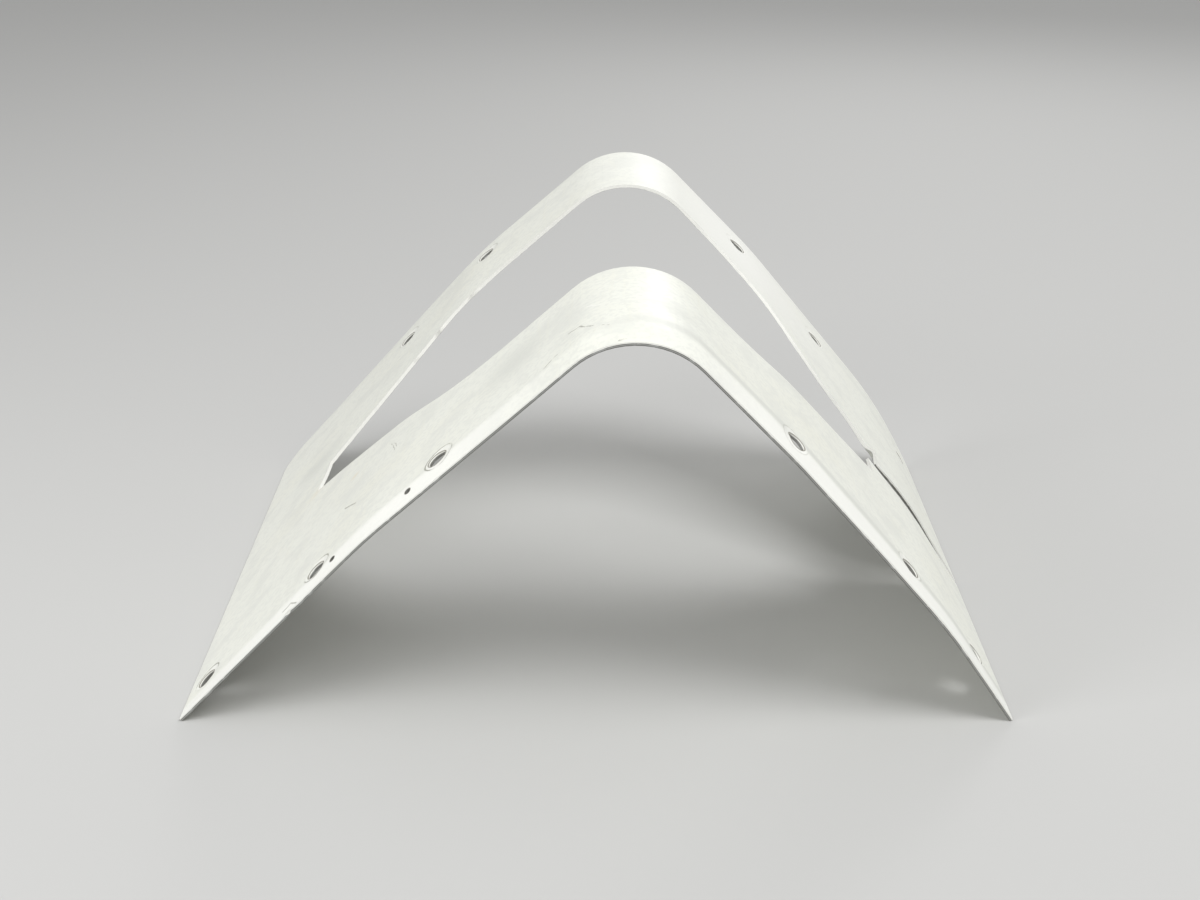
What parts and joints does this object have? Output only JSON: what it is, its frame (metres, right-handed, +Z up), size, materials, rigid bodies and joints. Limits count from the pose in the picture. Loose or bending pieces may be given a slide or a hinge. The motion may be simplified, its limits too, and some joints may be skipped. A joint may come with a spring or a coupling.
{
  "type": "hinge cover",
  "caption": "Folded sheet cover for the nose of a control surface, with a leaf-shaped slot over the fold for the hinge arm and screw holes along both edges.",
  "frame": {"origin": "on the ground, under the middle of the bounding box, with the sheet standing on its two ends", "axes": "+X runs from the left end to the right end, the one with the slit, +Y from the front edge to the rear edge, along the fold, and +Z is up"},
  "size_m": [0.173, 0.142, 0.0882],
  "materials": {
    "painted_sheet": "satin off-white paint on aluminium sheet, worn at the edges"
  },
  "bodies": {
    "root": {"hinge_cover": "painted_sheet"}
  },
  "joints": []
}
